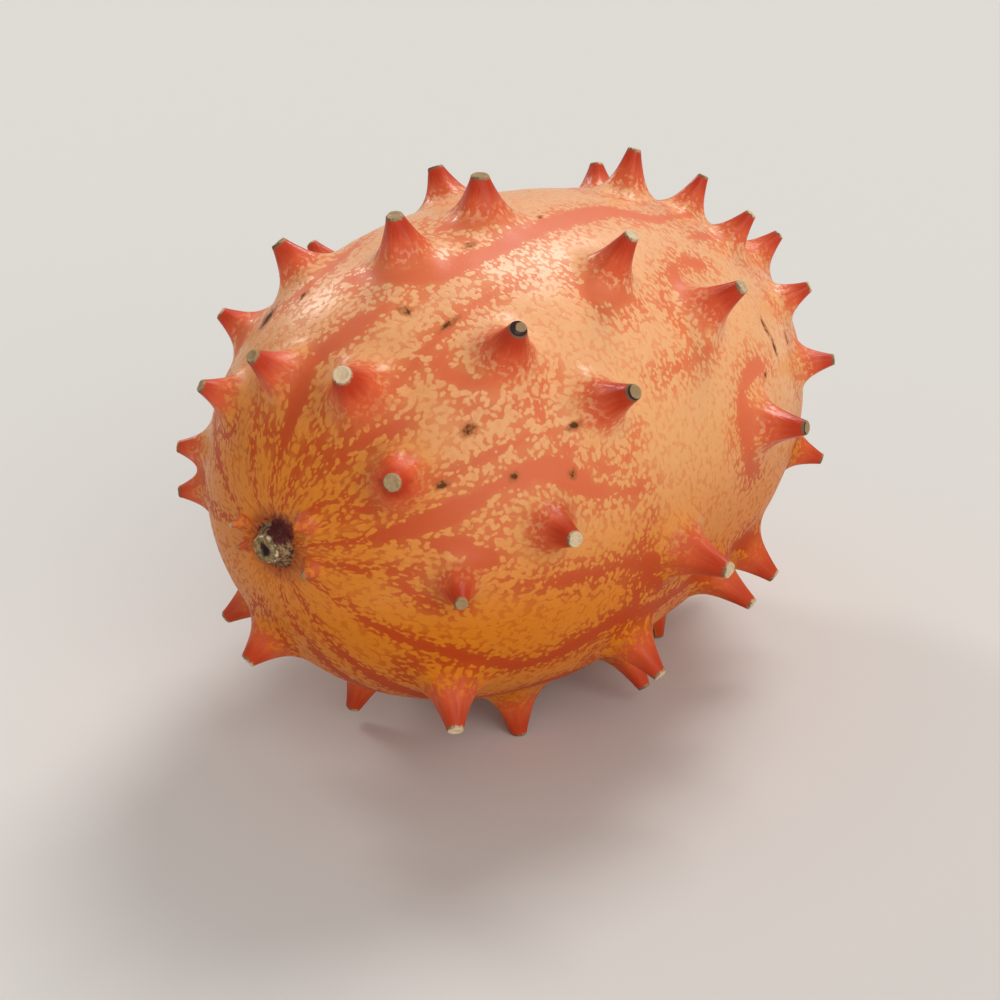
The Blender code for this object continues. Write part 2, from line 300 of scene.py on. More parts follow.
def profile():
    """The body's outline from the stem pole, turn 0, to the blossom pole, turn pi, as a table."""
    turn = np.linspace(POLE_GAP, math.pi - POLE_GAP, PROFILE_POINTS)
    station = -HALF_LENGTH * np.cos(turn)
    radius = body_radius(station)
    step = np.hypot(np.diff(station), np.diff(radius))
    middle = 0.5 * (radius[1:] + radius[:-1])
    spread = np.concatenate([[0.0], np.cumsum(step / middle)])
    length = np.concatenate([[0.0], np.cumsum(step)])
    along = length - np.interp(math.pi / 2, turn, length)
    stretch = np.interp(along, PATTERN_PLACES, PATTERN_STRETCH)
    end_gap = np.minimum(length, length[-1] - length)
    widening = np.sin(0.5 * math.pi * np.clip(end_gap / PATTERN_END, 0.0, 1.0))
    return {
        "turn": turn,
        "station": station,
        "radius": radius,
        "bearing": np.arctan2(radius, -station),
        "spread": spread - np.interp(math.pi / 2, turn, spread),
        "along": along,
        "pattern_along": np.cumsum(np.gradient(along) * stretch),
        "pattern_radius": PATTERN_RADII[0] + (PATTERN_RADII[1] - PATTERN_RADII[0]) * widening,
        "area": np.concatenate([[0.0], np.cumsum(2.0 * math.pi * middle * step)]),
        "out_along": -np.gradient(radius, turn),
        "out_across": np.gradient(station, turn),
    }


PROFILE = profile()


def looked_up(turn, column):
    """One column of the profile at each turn."""
    return np.interp(turn, PROFILE["turn"], PROFILE[column])


def body_points(turn, angle):
    """The points on the body at each turn and angle."""
    radius = looked_up(turn, "radius")
    return np.column_stack([looked_up(turn, "station"), radius * np.cos(angle), radius * np.sin(angle)])


def body_normals(turn, angle):
    """The directions straight out of the body at each turn and angle."""
    across = looked_up(turn, "out_across")
    normals = np.column_stack([looked_up(turn, "out_along"), across * np.cos(angle), across * np.sin(angle)])
    return normals / np.linalg.norm(normals, axis=1)[:, None]


def sites_of(stations, degrees):
    """Each site's turn, angle, point on the body and direction out of it."""
    turn = np.arccos(-np.asarray(stations, float) / HALF_LENGTH)
    angle = np.radians(np.asarray(degrees, float))
    return turn, angle, body_points(turn, angle), body_normals(turn, angle)


def foot_axis(degrees):
    """The way that a foot points."""
    angle = math.radians(degrees + FOOT_BEND * (STRAIGHT_DOWN - degrees))
    return np.array([0.0, math.cos(angle), math.sin(angle)])


def foot_horns():
    """The three feet as horns: station, angle, height and girth."""
    horns = []
    for station, degrees in FOOT_SITES:
        root = float(body_radius(station)) * math.sin(math.radians(degrees))
        height = (-AXIS_HEIGHT - FOOT_WEAR - root) / foot_axis(degrees)[2]
        horns.append((station, degrees, height, FOOT_GIRTH))
    return horns


def far_horns(horns):
    """The horns with more drawn over the far side and the underside, clear of each other and the floor."""
    draws = random.Random(SEED)
    found = list(horns)
    for _ in range(FAR_DRAWS):
        turn = np.interp(draws.random() * PROFILE["area"][-1], PROFILE["area"], PROFILE["turn"])
        station = float(looked_up(turn, "station"))
        degrees = draws.uniform(0.0, 360.0)
        height = draws.uniform(*FAR_HEIGHTS) - END_HEIGHT_LOSS * (station / HALF_LENGTH) ** 2
        girth = draws.uniform(*FAR_GIRTHS)
        stations, angles, _, _ = zip(*found, (station, degrees, height, girth))
        _, _, points, normals = sites_of(stations, angles)
        far = normals[-1] @ NEAR_SIDE < FAR_FACING or normals[-1][2] < UNDER_FACING
        apart = np.linalg.norm(points[:-1] - points[-1], axis=1).min()
        off_floor = AXIS_HEIGHT + (points[-1] + height * normals[-1])[2]
        if far and apart > FAR_SPACING and off_floor > FLOOR_CLEARANCE:
            found.append((station, degrees, height, girth))
    return found


def horn_away(down):
    """The distance from a horn's axis of the point that lies part of the way down it."""
    return TIP_RADIUS + CONE_RADIUS * down + FLARE_RADIUS * down**FLARE_POWER


# A horn's profile as a table: the distance from its axis, and the part of its height there.
CURVE_DOWN = np.linspace(0.0, 1.0, CURVE_POINTS)
CURVE_AWAY = horn_away(CURVE_DOWN)
CURVE_RISE = (1.0 - CURVE_DOWN) ** SLOPE_POWER
HORN_REACH = float(CURVE_AWAY[-1])


class Horns:
    """All the horns, with what places and shapes each."""

    def __init__(self):
        listed = far_horns(list(NEAR_HORNS) + foot_horns())
        stations, degrees, heights, girths = zip(*listed)
        self.turn, self.angle, self.points, self.normals = sites_of(stations, degrees)
        self.heights = np.array(heights)
        self.girths = np.array(girths)
        self.axes = self.directions()
        self.sides = np.array([side_of(normal) for normal in self.normals])
        self.others = np.cross(self.normals, self.sides)
        draws = random.Random(SEED + 3)
        drawn = [draws.uniform(*OTHER_TIP_AGES) for _ in listed]
        self.ages = [TIP_AGES.get(horn[:2], age) for horn, age in zip(listed, drawn)]

    def directions(self):
        """The way that each horn points: out of the body with a slight lean, and a foot mostly down."""
        draws = random.Random(SEED)
        leans = [[draws.uniform(-MOST_LEAN, MOST_LEAN) for _ in range(3)] for _ in self.heights]
        axes = self.normals + np.array(leans)
        for number, (_, degrees) in enumerate(FOOT_SITES):
            axes[len(NEAR_HORNS) + number] = foot_axis(degrees)
        return axes / np.linalg.norm(axes, axis=1)[:, None]

    def seen_from(self, points, which):
        """Points as (distance from the horn's axis in its own scale, bearing round it, is it this side)."""
        apart = points - self.points[which]
        across = apart @ self.sides[which]
        other = apart @ self.others[which]
        away = np.hypot(across, other) / self.girths[which]
        here = np.abs(apart @ self.normals[which]) < HORN_DEPTH
        return away, np.arctan2(other, across), here


def side_of(normal):
    """A direction across the normal that points along the fruit, towards its blossom end."""
    along = np.array([1.0, 0.0, 0.0]) if abs(normal[0]) < 0.999 else np.array([0.0, 0.0, 1.0])
    side = along - (along @ normal) * normal
    return side / np.linalg.norm(side)


def off_axis(points):
    """How far each point is from the fruit's axis."""
    return np.hypot(points[:, 1], points[:, 2])


def on_body(points):
    """The turn and angle of the places on the body that lie straight below points, seen from its middle."""
    bearing = np.arctan2(off_axis(points), -points[:, 0])
    turn = np.interp(bearing, PROFILE["bearing"], PROFILE["turn"])
    return turn, np.arctan2(points[:, 2], points[:, 1])


def ring(point, side, other, radius, count, phase):
    """Evenly spaced points of a circle across the two directions."""
    around = phase + 2.0 * math.pi * np.arange(count) / count
    return point + radius * (np.cos(around)[:, None] * side + np.sin(around)[:, None] * other)


def horn_ring_sizes(girth):
    """The rings of points round a horn: the cap's, then those down the wall and out over the flare."""
    skip = round(1.0 / max(girth, THINNEST_GIRTH)) if girth < THIN_GIRTH else 1
    rings = [(part * TIP_RADIUS, count) for part, count in CAP_RINGS]
    down = np.linspace(0.0, 1.0, WALL_RINGS) ** WALL_RING_POWER
    counts = np.linspace(*WALL_RING_POINTS, WALL_RINGS).round().astype(int)
    rings += [(float(horn_away(part)), int(count)) for part, count in zip(down, counts)]
    return [(away * girth, max(FEWEST_POINTS, count // skip)) for away, count in rings[::skip]]


def horn_mesh_points(horns):
    """Points on the body under each horn: its middle and rings round it, up to halfway to the next."""
    kept = []
    for which, girth in enumerate(horns.girths):
        middle = horns.points[which]
        found = [middle[None, :]]
        for number, (away, count) in enumerate(horn_ring_sizes(girth)):
            phase = GOLDEN_ANGLE * which + math.pi * (number % 2) / count
            found.append(ring(middle, horns.sides[which], horns.others[which], away, count, phase))
        points = np.concatenate(found)
        own = np.linalg.norm(points - middle, axis=1) / girth
        close = np.linalg.norm(horns.points - middle, axis=1) < NEIGHBOUR_REACH * HORN_REACH
        close[which] = False
        if close.any():
            rest = np.linalg.norm(points[:, None, :] - horns.points[close], axis=2) / horns.girths[close]
            points = points[own < NEIGHBOUR_MARGIN * rest.min(axis=1)]
        kept.append(points)
    return np.concatenate(kept)


def end_mesh_points(end):
    """Rings of points round a pole: the stem's where end is -1, the blossom's where it is 1."""
    pole = np.array([end * HALF_LENGTH, 0.0, 0.0])
    side = np.array([0.0, 1.0, 0.0])
    other = np.array([0.0, 0.0, 1.0])
    rings = []
    away = END_STEP
    while away < END_REACH:
        step = END_STEP * (1.0 + away / END_STEP_DOUBLING)
        count = max(FEWEST_POINTS, round(2.0 * math.pi * away / step))
        rings.append(ring(pole, side, other, away, count, END_TWIST * away))
        away += step
    return np.concatenate(rings)


def even_points():
    """Points spread evenly over the body, on a spiral from one end's rings to the other's."""
    count = round(PROFILE["area"][-1] / (BODY_SPACING**2 * math.sqrt(0.75)))
    share = (np.arange(count) + 0.5) / count
    turn = np.interp(share * PROFILE["area"][-1], PROFILE["area"], PROFILE["turn"])
    points = body_points(turn, GOLDEN_ANGLE * np.arange(count))
    return points[off_axis(points) > END_REACH * END_OVERLAP]


def clear_of_horns(points, horns, reach):
    """Those points that are further from every horn than a part of its own reach."""
    clear = np.ones(len(points), bool)
    for point, girth in zip(horns.points, horns.girths):
        clear &= np.linalg.norm(points - point, axis=1) > reach * HORN_REACH * girth
    return points[clear]


def body_mesh_points(horns):
    """Every point of the mesh on the body but the blossom pole: fine at horns and poles, even elsewhere."""
    stem_pole = np.array([[-HALF_LENGTH, 0.0, 0.0]])
    ends = clear_of_horns(np.concatenate([end_mesh_points(-1), end_mesh_points(1)]), horns, 1.0)
    even = clear_of_horns(even_points(), horns, BODY_GAP)
    return np.concatenate([stem_pole, horn_mesh_points(horns), ends, even])


def flattened(turn, angle):
    """The body's surface laid out flat without bending any angle, the blossom pole infinitely far out."""
    out = np.exp(looked_up(turn, "spread"))
    return [Vector((x, y)) for x, y in zip(out * np.cos(angle), out * np.sin(angle))]


def relief(points, layer):
    """How far a layer of relief raises or sinks each point."""
    size, rise, start = layer
    shift = Vector((start, 2.0 * start, 3.0 * start))
    return rise * np.array([noise.noise(Vector(point) / size + shift) for point in points])


class Skin:
    """The fruit's surface: where each point of the body goes, and what its material reads there."""

    def __init__(self, horns, points, turn, angle):
        self.horns = horns
        self.points = points
        self.turn = turn
        self.angle = angle
        self.along = looked_up(turn, "along")
        self.around = BODY_RADIUS * angle
        self.rise = np.zeros(len(points))
        self.nearest = np.full(len(points), FAR_FROM_HORN)
        self.cap = np.full(len(points), FAR_FROM_CAP)
        self.flank = np.zeros((len(points), 3))
        self.age = np.zeros(len(points))
        self.move = np.zeros_like(points)
        for which in range(len(horns.heights)):
            self.raise_horn(which)

    def pattern_places(self):
        """Where each point lies on the tube that the peel's pattern is laid out on."""
        radius = looked_up(self.turn, "pattern_radius")
        length = looked_up(self.turn, "pattern_along")
        return np.column_stack([radius * np.cos(self.angle), radius * np.sin(self.angle), length])

    def raise_horn(self, which):
        """Move the points of one horn out along it, and note what its material reads there."""
        horns = self.horns
        height = horns.heights[which]
        away, bearing, here = horns.seen_from(self.points, which)
        ribs = 1.0 + RIB_SIZE * np.sin(RIB_COUNT * bearing + which) * np.clip(away - TIP_RADIUS, 0.0, 1.0)
        part = np.interp(away * ribs, CURVE_AWAY, CURVE_RISE, right=0.0)
        inside = away / TIP_RADIUS
        rim = CAP_RIM * np.exp(-((inside - CAP_RIM_PLACE) ** 2) / CAP_RIM_SPREAD)
        dish = CAP_DISH * np.clip(1.0 - (inside / CAP_DISH_RADIUS) ** 2, 0.0, 1.0)
        dome = TIP_DOME * np.clip(1.0 - inside**2, 0.0, 1.0)
        lift = height * part + horns.girths[which] * (dome + rim - dish)
        self.move += (here * lift)[:, None] * horns.axes[which]
        nearer = here & (away < self.nearest)
        self.nearest[nearer] = away[nearer]
        self.rise[nearer] = part[nearer] * min(1.0, height / FULL_COLOUR_HEIGHT) ** 2
        self.cap[nearer] = np.minimum(inside[nearer], FAR_FROM_CAP)
        self.age[nearer] = horns.ages[which]
        level = FLANK_SCALE * away + FLANK_GAP * which
        self.flank[nearer] = np.column_stack([np.cos(bearing), np.sin(bearing), level])[nearer]


def stem_rise(points):
    """The dip round the stem's stub, and the stub with its hollow middle."""
    away = off_axis(points)
    at_stem = points[:, 0] < 0.0
    dip = STEM_DIP * np.clip(1.0 - (away / STEM_DIP_RADIUS) ** 2, 0.0, 1.0) ** 2
    wall = np.clip((STUB_RADIUS * STUB_FOOT - away) / (STUB_RADIUS * STUB_SLOPE), 0.0, 1.0)
    hollow = HOLLOW_DEPTH * np.clip(1.0 - away / HOLLOW_RADIUS, 0.0, 1.0)
    return at_stem * (dip - STUB_HEIGHT * wall + hollow)


def blossom_rise(points):
    """The low ring of the flower's scar."""
    away = off_axis(points)
    at_blossom = points[:, 0] > 0.0
    ridge = np.clip(1.0 - np.abs(away - SCAR_RADIUS) / SCAR_RADIUS, 0.0, 1.0)
    return at_blossom * SCAR_HEIGHT * ridge


def smooth_route(places):
    """Points along a smooth curve through the places."""
    places = np.asarray(places, float)
    ends = np.vstack([2 * places[0] - places[1], places, 2 * places[-1] - places[-2]])
    share = np.arange(BAND_STEPS)[:, None] / BAND_STEPS
    pieces = []
    for a, b, c, d in zip(ends, ends[1:], ends[2:], ends[3:]):
        bend = (2 * a - 5 * b + 4 * c - d) * share + (3 * b - a - 3 * c + d) * share**2
        pieces.append(b + 0.5 * share * ((c - a) + bend))
    return np.vstack(pieces + [places[-1:]])


def route_of(places, half):
    """A band's route over the unrolled peel in millimetres: rows of (along, around, half width there)."""
    share = np.linspace(0.0, 1.0, len(places))
    taper = np.clip(np.minimum(share, 1.0 - share) / BAND_TAPER, 0.0, 1.0) ** 0.5
    wave = 1.0 + BAND_WAVE * np.sin(BAND_WAVES * share + 5.0 * half)
    halves = half * wave - BAND_END_LOSS * (1.0 - taper)
    return np.column_stack([places, halves])


def far_routes(draws):
    """The coral bands of the far side."""
    for degrees in FAR_BANDS:
        places = [(along, degrees + draws.uniform(-1, 1) * FAR_BAND_WANDER) for along in FAR_BAND_PLACES]
        start, stop = draws.choice(FAR_BAND_SPANS)
        half = draws.uniform(*FAR_BAND_HALF_WIDTHS)
        yield route_of(unrolled(smooth_route(places[start:stop])), half)


def ring_routes(horns, draws):
    """The coral rings round the horns' feet."""
    for which, height in enumerate(horns.heights):
        away = draws.uniform(*RING_AWAY)
        half = draws.uniform(*RING_HALF_WIDTH)
        sweep = math.radians(draws.uniform(*RING_SWEEP))
        turned = draws.uniform(-RING_TURN, RING_TURN)
        if height > TALLEST_NUB:
            around = math.pi + turned + np.linspace(-sweep, sweep, RING_POINTS)
            reach = away * horns.girths[which] * (1.0 + RING_UNEVEN * np.sin(3.0 * around + which))
            centre = [looked_up(horns.turn[which], "along"), BODY_RADIUS * horns.angle[which]]
            circle = np.column_stack([np.cos(around), np.sin(around)]) * reach[:, None]
            yield route_of(circle + centre, half)


def unrolled(places):
    """Places given as (distance along the peel, degrees) in millimetres both ways."""
    return places * [1.0, BODY_RADIUS * math.radians(1.0)]


def band_routes(horns):
    """The routes of every band and ring."""
    draws = random.Random(SEED + 1)
    routes = [route_of(unrolled(smooth_route(places)), half) for half, places in NEAR_BANDS]
    return routes + list(far_routes(draws)) + list(ring_routes(horns, draws))


def unrolled_gap(along, around, place_along, place_around):
    """The distance along and round the unrolled peel from one place, the short way round."""
    full = 2.0 * math.pi * BODY_RADIUS
    return along - place_along, (around - place_around + 0.5 * full) % full - 0.5 * full


def band_distance(skin):
    """How far each point is outside the nearest band, below zero inside one."""
    distance = np.full(len(skin.points), FAR_FROM_BAND)
    for along, around, half in np.vstack(band_routes(skin.horns)):
        gap_along, gap_around = unrolled_gap(skin.along, skin.around, along, around)
        near = (np.abs(gap_along) < BAND_SEARCH) & (np.abs(gap_around) < BAND_SEARCH)
        gap = np.hypot(gap_along[near], gap_around[near]) - half
        distance[near] = np.minimum(distance[near], gap)
    return distance


def blemish_distance(skin):
    """How far out of the nearest blemish each point is, 1 at its edge and 0 at its middle."""
    draws = random.Random(SEED + 2)
    places = list(NEAR_BLEMISHES)
    for _ in range(FAR_BLEMISHES):
        size = draws.uniform(*FAR_BLEMISH_LENGTHS)
        along = draws.uniform(*FAR_BLEMISH_ALONG)
        degrees = draws.uniform(*FAR_BLEMISH_DEGREES)
        places.append((along, degrees, size, size * draws.uniform(*FAR_BLEMISH_WIDTHS)))
    part = np.full(len(skin.points), FAR_FROM_BLEMISH)
    for along, degrees, long, wide in places:
        around = math.radians(degrees) * BODY_RADIUS
        gap_along, gap_around = unrolled_gap(skin.along, skin.around, along, around)
        part_along = gap_along / (0.5 * long + BLEMISH_MARGIN)
        part_around = gap_around / (0.5 * wide + BLEMISH_MARGIN)
        part = np.minimum(part, np.hypot(part_along, part_around))
    return part


def pit_shade_distance(skin):
    """How far each point is from the middle of the painted pit shade beside the stub."""
    bearing = math.radians(PIT_SHADE_DEGREES)
    middle = PIT_SHADE_AWAY * np.array([math.cos(bearing), math.sin(bearing)])
    away = np.linalg.norm(skin.points[:, 1:] - middle, axis=1)
    return np.where(skin.points[:, 0] < 0.0, away, FAR_FROM_END)


def end_distance(skin, end):
    """How far each point is from the axis, at the stem's end, -1, or the blossom's, 1."""
    return np.where(end * skin.points[:, 0] > 0.0, off_axis(skin.points), FAR_FROM_END)


def shaped(skin, blemish):
    """The body's points raised into horns, stub and scar, with the three feet worn flat."""
    points = skin.points
    normals = body_normals(skin.turn, skin.angle)
    final = points + skin.move
    final[:, 0] += stem_rise(points) + blossom_rise(points)
    cork = (points[:, 0] < 0.0) * np.clip(1.0 - off_axis(points) / STEM_CORK_RADIUS, 0.0, 1.0)
    calm = 1.0 - np.clip(skin.rise * HORN_CALMING, 0.0, 1.0)
    lift = calm * (relief(points, LUMPS) + relief(points, RIPPLES))
    lift -= BLEMISH_DEPTH * np.clip(1.0 - blemish, 0.0, 1.0)
    lift += cork * relief(points, STEM_CORK)
    lift += (skin.cap < 1.0) * relief(points, CAP_GRAIN)
    final += lift[:, None] * normals
    final[:, 2] = np.maximum(final[:, 2], -AXIS_HEIGHT)
    return final


def skinned(points, flat):
    """One closed mesh through the points, the blossom pole last."""
    _, _, triangles, sources, _, _ = delaunay_2d_cdt(flat, [], [], 0, 1e-9)
    bm = bmesh.new()
    corners = [bm.verts.new(point) for point in points]
    for triangle in triangles:
        bm.faces.new([corners[sources[corner][0]] for corner in triangle])
    for edge in [edge for edge in bm.edges if edge.is_boundary]:
        bm.faces.new([edge.verts[0], edge.verts[1], corners[-1]])
    bmesh.ops.recalc_face_normals(bm, faces=bm.faces)
    return bm


def write_attribute(mesh, name, values):
    """Store a number or a vector for each point of the mesh."""
    values = np.asarray(values, np.float32)
    kind, field = ("FLOAT_VECTOR", "vector") if values.ndim == 2 else ("FLOAT", "value")
    mesh.attributes.new(name, kind, "POINT").data.foreach_set(field, values.ravel())


def material_values(skin, places, blemish):
    """What the material reads at each point, by name. The places are in metres."""
    return {
        "skin": skin.pattern_places(),
        "place": places / METRES,
        "flank": skin.flank,
        "horn_rise": skin.rise,
        "horn_away": skin.nearest,
        "cap_part": skin.cap,
        "horn_age": skin.age,
        "band": band_distance(skin),
        "blemish": blemish,
        "stem_away": end_distance(skin, -1),
        "pit_shade": pit_shade_distance(skin),
        "blossom_away": end_distance(skin, 1),
        "height": skin.points[:, 2],
    }


def body_middle(places):
    """Where the middle of the body goes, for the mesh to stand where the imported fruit's box is."""
    low, high = (np.array(corner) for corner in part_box(NODE))
    middle = 0.5 * (low + high) - 0.5 * (places.min(axis=0) + places.max(axis=0))
    middle[2] = low[2] - places[:, 2].min()
    return Vector(middle)


def meshed(name, bm):
    """A new mesh with what bm holds."""
    mesh = bpy.data.meshes.new(name)
    bm.to_mesh(mesh)
    bm.free()
    return mesh


def placed(name, data):
    """A new object of the scene with this data."""
    piece = bpy.data.objects.new(name, data)
    bpy.context.scene.collection.objects.link(piece)
    return piece


def fruit():
    """The fruit without its material, and where the middle of its body is."""
    horns = Horns()
    turn, angle = on_body(body_mesh_points(horns))
    flat = flattened(turn, angle)
    turn = np.append(turn, PROFILE["turn"][-1])
    angle = np.append(angle, 0.0)
    skin = Skin(horns, body_points(turn, angle), turn, angle)
    blemish = blemish_distance(skin)
    bm = skinned(shaped(skin, blemish) * METRES, flat)
    places = np.array([corner.co for corner in bm.verts])
    middle = body_middle(places)
    bmesh.ops.translate(bm, verts=bm.verts, vec=middle)
    mesh = meshed("horned_melon_fruit", bm)
    mesh.shade_smooth()
    for name, values in material_values(skin, places, blemish).items():
        write_attribute(mesh, name, values)
    return placed("horned_melon_fruit", mesh), middle


# ---- Materials ----


def colour(red, green, blue):
    """A colour given as a screen shows it, from 0 to 255, turned into the linear values that nodes take."""
    parts = [value / 255.0 for value in (red, green, blue)]
    linear = [part / 12.92 if part < 0.04045 else ((part + 0.055) / 1.055) ** 2.4 for part in parts]
    return (*linear, 1.0)


class Nodes:
    """A material's node tree, with a short call for each kind of node that it needs."""

    def __init__(self, name):
        self.material = bpy.data.materials.new(name)
        self.material.use_nodes = True
        self.tree = self.material.node_tree
        self.shader = self.tree.nodes["Principled BSDF"]

    def fill(self, socket, value):
        """Link a socket to another node's output, or give it a plain value."""
        if isinstance(value, bpy.types.NodeSocket):
            self.tree.links.new(value, socket)
        else:
            socket.default_value = value

    def new(self, kind, values, **settings):
        """A node with its settings made and its sockets filled."""
        node = self.tree.nodes.new(kind)
        for setting, value in settings.items():
            setattr(node, setting, value)
        for socket, value in values.items():
            self.fill(node.inputs[socket], value)
        return node

    def number(self, name):
        return self.new("ShaderNodeAttribute", {}, attribute_name=name).outputs["Fac"]

    def vector(self, name):
        return self.new("ShaderNodeAttribute", {}, attribute_name=name).outputs["Vector"]

    def maths(self, operation, a, b=0.0):
        return self.new("ShaderNodeMath", {0: a, 1: b}, operation=operation).outputs[0]

    def add(self, a, b):
        return self.maths("ADD", a, b)

    def less(self, a, b):
        return self.maths("SUBTRACT", a, b)

    def times(self, a, b):
        return self.maths("MULTIPLY", a, b)

    def most(self, a, b):
        return self.maths("MAXIMUM", a, b)

    def noise(self, vector, size, detail=2.0, roughness=0.5):
        values = {"Vector": vector, "Scale": 1.0 / size, "Detail": detail, "Roughness": roughness}
        return self.new("ShaderNodeTexNoise", values).outputs["Fac"]

    def roughened(self, value, texture, amount):
        """The value with a texture's ups and downs added."""
        return self.add(value, self.times(self.less(texture, 0.5), amount))

    def ramp(self, value, low, high, start=0.0, stop=1.0):
        """The value turned smoothly from start at low to stop at high."""
        values = {"Value": value, "From Min": low, "From Max": high, "To Min": start, "To Max": stop}
        return self.new("ShaderNodeMapRange", values, interpolation_type="SMOOTHSTEP").outputs[0]

    def mix(self, share, first, second):
        """A colour between first and second."""
        node = self.new("ShaderNodeMix", {}, data_type="RGBA")
        for name, value in (("Factor", share), ("A", first), ("B", second)):
            self.fill(next(socket for socket in node.inputs if socket.name == name and socket.enabled), value)
        return next(socket for socket in node.outputs if socket.enabled)

    def blend(self, share, first, second):
        """A plain number between first and second."""
        values = {"Factor": share, "A": first, "B": second}
        return self.new("ShaderNodeMix", values, data_type="FLOAT").outputs["Result"]

    def feed(self, socket, source):
        self.tree.links.new(source, self.shader.inputs[socket])


# The peel's colours. The ochre and deep ones, used low down and at the stem end, carry painted shade and warm
# bounce light as well as the peel's own deeper colour. The pale top colour carries a painted sheen of the
# sky.
PALE = colour(236, 170, 106)
PALE_TOP_SHEEN = colour(240, 178, 126)
OCHRE_SHADED = colour(214, 122, 8)
CORAL = colour(224, 112, 70)
CORAL_DEEP_SHADED = colour(184, 64, 4)
GROUND = colour(226, 126, 76)
GROUND_DEEP_SHADED = colour(184, 72, 4)
HORN_FOOT = colour(224, 116, 68)
HORN_MID = colour(216, 92, 52)
HORN_TIP = colour(190, 58, 28)
HORN_FLECK = colour(236, 164, 124)
CORK_PALE = colour(222, 196, 160)
CORK_TAN = colour(162, 134, 96)
CORK_DARK = colour(52, 30, 34)
BLEMISH_DARK = colour(84, 50, 26)
BLEMISH_HALO = colour(176, 98, 44)
STEM_DISC = colour(112, 96, 60)
STEM_BARK = colour(70, 38, 22)
STEM_HALO = colour(140, 44, 24)
# Painted shade of the pit between the stub and the peel.
STEM_PIT_SHADE = colour(72, 14, 22)

# Below, a ramp's four numbers are those that Nodes.ramp takes. A ramp with two goes from 0 to 1.

# The mottle is made of cells about this wide, shifted by noise and with their edges run together.
CELL_SIZE = 0.86
CELL_SHIFT = 1.1
CELL_SHIFT_SCALE = 0.7
CELL_SMOOTHNESS = 0.7
# How far a pale cell reaches from its middle, by its distance from a band and further out, and the share of
# luck in it. It reaches less in a few broad patches and at the stem end.
BAND_EDGE_SIZE = 2.6
BAND_EDGE_WOBBLE = 2.6
BAND_EDGE = (0.8, -0.8)
REACH_BY_BAND = (-0.9, 0.6, -0.1, 0.5)
REACH_FURTHER_OUT = (0.6, 4.5, 0.0, 0.12)
CLUMP_SIZE = 1.4
CLUMP_REACH = 0.5
CELL_LUCK = 0.15
PATCH_SIZE = 7.0
PATCH_LOSS = (0.45, 0.72, 0.0, 0.06)
STEM_LOSS = (33.0, 20.0, 0.0, 0.02)
CELL_EDGE = (-0.1, 0.08)


def mottle_cells(n, skin):
    """The distance from the middle of the cell at each place, and the cell's own random number."""
    values = {"Vector": skin, "Scale": CELL_SHIFT_SCALE, "Detail": 1.0}
    shift = n.new("ShaderNodeTexNoise", values).outputs["Color"]
    shift = n.new("ShaderNodeVectorMath", {0: shift, 1: (0.5, 0.5, 0.5)}, operation="SUBTRACT").outputs[0]
    shift = n.new("ShaderNodeVectorMath", {0: shift, "Scale": CELL_SHIFT}, operation="SCALE").outputs[0]
    place = n.new("ShaderNodeVectorMath", {0: skin, 1: shift}, operation="ADD").outputs[0]
    values = {"Vector": place, "Scale": 1.0 / CELL_SIZE, "Smoothness": CELL_SMOOTHNESS}
    cells = n.new("ShaderNodeTexVoronoi", values, feature="SMOOTH_F1")
    luck = n.new("ShaderNodeSeparateColor", {"Color": cells.outputs["Color"]}).outputs[0]
    return cells.outputs["Distance"], luck


def mottle_masks(n, skin):
    """Where the pale cells and the coral bands are, each from 0 to 1.

    The cells merge away from the bands and thin out to dots inside them.
    """
    distance, luck = mottle_cells(n, skin)
    outside = n.roughened(n.number("band"), n.noise(skin, BAND_EDGE_SIZE), BAND_EDGE_WOBBLE)
    reach = n.add(n.ramp(outside, *REACH_BY_BAND), n.ramp(outside, *REACH_FURTHER_OUT))
    reach = n.roughened(reach, n.noise(skin, CLUMP_SIZE), CLUMP_REACH)
    reach = n.roughened(reach, luck, CELL_LUCK)
    reach = n.less(reach, n.ramp(n.noise(skin, PATCH_SIZE, 1.0), *PATCH_LOSS))
    reach = n.less(reach, n.ramp(n.number("stem_away"), *STEM_LOSS))
    return n.ramp(n.less(reach, distance), *CELL_EDGE), n.ramp(outside, *BAND_EDGE)


# The pale cells turn lighter towards the top, partly their own colour and partly a painted sheen of the sky
# above. Far from the bands the ground between them is nearly as pale as they are, and they have some of its
# colour in them.
TOP_LIGHTNESS_AND_SHEEN = (4.0, 30.0)
FADE_SIZE = 5.0
GROUND_FADE = (1.2, 5.0, 0.0, 0.55)
TINT_SIZE = 0.9
CELL_TINT = (0.4, 0.7, 0.0, 0.3)


def body_colour(n, skin, warm_and_shaded, mottle, band):
    """Pale cells on coral ground, both of them deeper and yellower low down and at the stem end, partly the
    peel's own colour and partly painted shade and warm bounce light.
    """
    # Lighter at the top: partly a painted sheen of the sky.
    pale = n.mix(n.ramp(n.number("height"), *TOP_LIGHTNESS_AND_SHEEN), PALE, PALE_TOP_SHEEN)
    # Deeper and yellower low down and at the stem end: partly painted shade and warm bounce light.
    pale = n.mix(warm_and_shaded, pale, OCHRE_SHADED)
    ground = n.mix(band, n.mix(warm_and_shaded, GROUND, GROUND_DEEP_SHADED), n.mix(warm_and_shaded, CORAL, CORAL_DEEP_SHADED))
    fade = n.ramp(n.add(n.number("band"), n.noise(skin, FADE_SIZE, 1.0)), *GROUND_FADE)
    ground = n.mix(fade, ground, pale)
    pale = n.mix(n.ramp(n.noise(skin, TINT_SIZE), *CELL_TINT), pale, ground)
    return n.mix(mottle, ground, pale)


